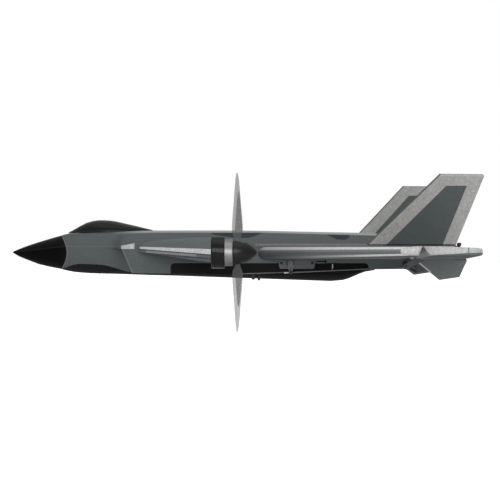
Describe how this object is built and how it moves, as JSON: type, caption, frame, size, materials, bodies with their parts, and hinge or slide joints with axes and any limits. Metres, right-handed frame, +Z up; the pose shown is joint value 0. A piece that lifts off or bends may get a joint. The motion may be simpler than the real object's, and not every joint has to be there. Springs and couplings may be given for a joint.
{
  "type": "rc flying wing",
  "caption": "Foam flying wing model with pusher propellers, delta wings with elevons, canted fins, intake boxes and a lift-off canopy.",
  "frame": {"origin": "middle of the flat skid face under the belly, near the balance point", "axes": "+X aft, along the body; +Y to starboard, along the span; +Z up"},
  "size_m": [0.5086, 0.69, 0.1565],
  "materials": {
    "foam_grey": "printed film over moulded bead foam",
    "foam_light": "bare moulded bead foam",
    "black_skin": "satin",
    "canopy_gloss": "gloss",
    "black_plastic": "satin gloss",
    "smoke_plastic": "smoke tinted, moulded",
    "nylon": "satin",
    "servo_case": "satin",
    "aluminium": "turned",
    "steel": "bright",
    "nut_black": "anodised",
    "winding": "enamelled wire",
    "carbon": "woven carbon",
    "plywood": "matte",
    "battery_wrap": "shrink wrap",
    "webbing": "woven",
    "board": "solder mask",
    "device_case": "matte"
  },
  "bodies": {
    "airframe": {"nose_cone": "black_skin", "fuselage_top": "foam_grey", "fuselage_bottom": "foam_grey", "belly_pan": "black_skin", "skid_plate": "black_skin", "intake_left": "foam_grey", "intake_right": "foam_grey", "launch_pegs": "black_skin", "hatch_magnets": "steel", "equipment_tray": "plywood", "battery": "battery_wrap", "battery_strap": "webbing", "flight_controller": "board", "receiver": "device_case", "esc_left": "device_case", "esc_right": "device_case", "strake_left": "foam_grey", "strake_right": "foam_grey", "wing_left": "foam_grey", "wing_right": "foam_grey", "main_spar": "carbon", "front_spar": "carbon", "fin_left": "foam_light", "fin_right": "foam_light", "fin_knobs": "black_skin", "motor_mount_left": "black_plastic", "motor_mount_right": "black_plastic", "motor_screws": "steel", "stator_left": "winding", "stator_right": "winding", "servo_left": "servo_case", "servo_right": "servo_case", "servo_cover_left": "foam_grey", "servo_cover_right": "foam_grey", "servo_screws": "steel"},
    "canopy": {"canopy": "canopy_gloss", "hatch_plate": "foam_light", "canopy_magnets": "steel"},
    "rotor_left": {"bell_left": "aluminium", "shaft_left": "steel", "propeller_left": "smoke_plastic", "spinner_left": "black_plastic", "prop_nut_left": "nut_black"},
    "elevon_left": {"elevon_left": "foam_grey", "horn_left": "black_plastic"},
    "servo_arm_left": {"servo_arm_left": "nylon", "output_shaft_left": "nylon"},
    "pushrod_left": {"pushrod_left": "steel", "rod_stopper_left": "steel"},
    "rotor_right": {"bell_right": "aluminium", "shaft_right": "steel", "propeller_right": "smoke_plastic", "spinner_right": "black_plastic", "prop_nut_right": "nut_black"},
    "elevon_right": {"elevon_right": "foam_grey", "horn_right": "black_plastic"},
    "servo_arm_right": {"servo_arm_right": "nylon", "output_shaft_right": "nylon"},
    "pushrod_right": {"pushrod_right": "steel", "rod_stopper_right": "steel"}
  },
  "joints": [
    {"name": "canopy_lift", "type": "slide", "parent": "airframe", "child": "canopy", "axis": [0, 0, 1], "range_m": [0, 0.045]},
    {"name": "prop_spin_left", "type": "hinge", "parent": "airframe", "child": "rotor_left", "pos_m": [-0.0243, -0.184, 0.0307], "axis": [1, 0, 0], "continuous": true},
    {"name": "elevon_hinge_left", "type": "hinge", "parent": "airframe", "child": "elevon_left", "pos_m": [0.151, -0.095, 0.0361], "axis": [0.1046, 0.9945, -0.0064], "range_deg": [-15, 15]},
    {"name": "servo_turn_left", "type": "hinge", "parent": "airframe", "child": "servo_arm_left", "pos_m": [0.0307, -0.0982, 0.0186], "axis": [0, 1, 0], "range_deg": [-34.5, 34.5]},
    {"name": "pushrod_pivot_left", "type": "hinge", "parent": "servo_arm_left", "child": "pushrod_left", "pos_m": [0.031, -0.0982, 0.0088], "axis": [0, 1, 0], "range_deg": [-34.5, 34.5]},
    {"name": "prop_spin_right", "type": "hinge", "parent": "airframe", "child": "rotor_right", "pos_m": [-0.0243, 0.184, 0.0307], "axis": [1, 0, 0], "continuous": true},
    {"name": "elevon_hinge_right", "type": "hinge", "parent": "airframe", "child": "elevon_right", "pos_m": [0.151, 0.095, 0.0361], "axis": [-0.1046, 0.9945, 0.0064], "range_deg": [-15, 15]},
    {"name": "servo_turn_right", "type": "hinge", "parent": "airframe", "child": "servo_arm_right", "pos_m": [0.0307, 0.0982, 0.0186], "axis": [0, 1, 0], "range_deg": [-34.5, 34.5]},
    {"name": "pushrod_pivot_right", "type": "hinge", "parent": "servo_arm_right", "child": "pushrod_right", "pos_m": [0.031, 0.0982, 0.0088], "axis": [0, 1, 0], "range_deg": [-34.5, 34.5]}
  ],
  "couplings": [
    {"joint": "servo_turn_left", "follows": "elevon_hinge_left", "ratio": 2.3},
    {"joint": "pushrod_pivot_left", "follows": "elevon_hinge_left", "ratio": -2.3},
    {"joint": "servo_turn_right", "follows": "elevon_hinge_right", "ratio": 2.3},
    {"joint": "pushrod_pivot_right", "follows": "elevon_hinge_right", "ratio": -2.3}
  ]
}
